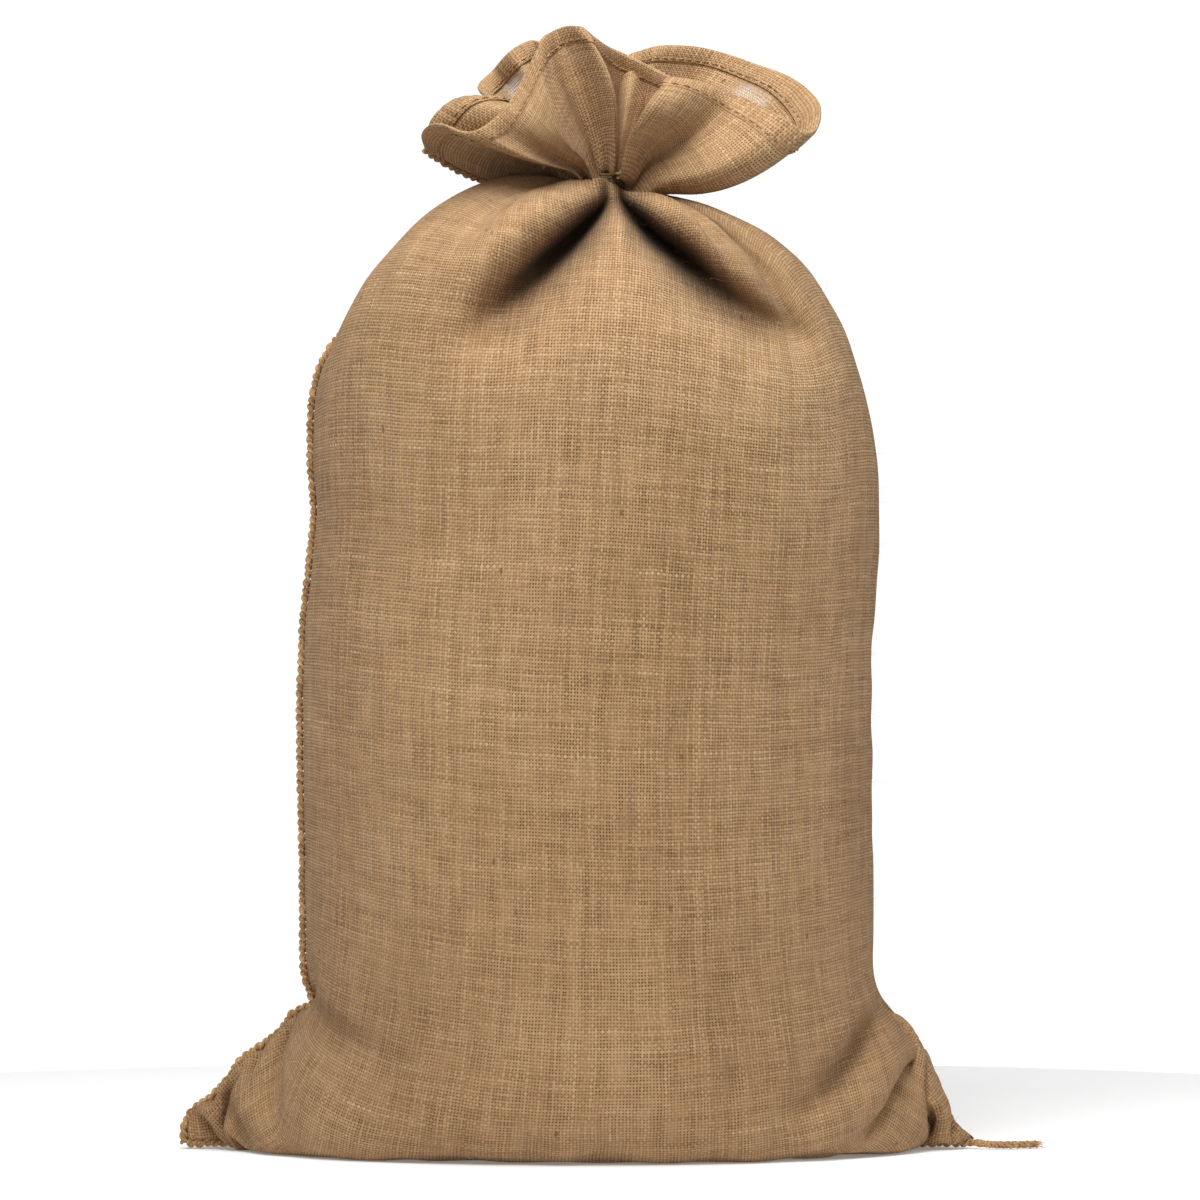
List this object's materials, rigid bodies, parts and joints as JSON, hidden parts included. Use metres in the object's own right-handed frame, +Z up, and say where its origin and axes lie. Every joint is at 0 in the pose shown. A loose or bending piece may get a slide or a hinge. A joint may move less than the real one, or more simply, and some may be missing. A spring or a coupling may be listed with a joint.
{
  "type": "sack race bag",
  "caption": "Stuffed jute sack standing on its sewn bottom, corner ears spread, the hemmed mouth gathered and tied into a flared frill.",
  "frame": {"origin": "middle of the footprint on the ground", "axes": "+Z up, the front panel faces -Y, the sewn side seam is towards -X and the folded edge towards +X"},
  "size_m": [0.611, 0.3444, 0.8038],
  "materials": {
    "jute_cloth": "matte",
    "jute_hem": "matte",
    "seam_thread": "matte",
    "hem_thread": "matte",
    "tie_cord": "matte",
    "stuffing": "matte"
  },
  "bodies": {
    "sack": {"sack_body": "jute_cloth", "filling": "stuffing", "side_seam": "seam_thread", "bottom_seam": "seam_thread", "neck_gather": "jute_cloth", "neck_tie": "tie_cord", "tie_knot": "tie_cord", "seam_tail": "seam_thread"},
    "mouth": {"mouth_frill": "jute_cloth", "mouth_hem": "jute_hem", "hem_stitching": "hem_thread", "mouth_seam": "seam_thread"}
  },
  "joints": [
    {"name": "mouth_lean", "type": "hinge", "parent": "sack", "child": "mouth", "pos_m": [0.022, 0, 0.7078], "axis": [1, 0, 0], "range_deg": [-15, 15]}
  ]
}
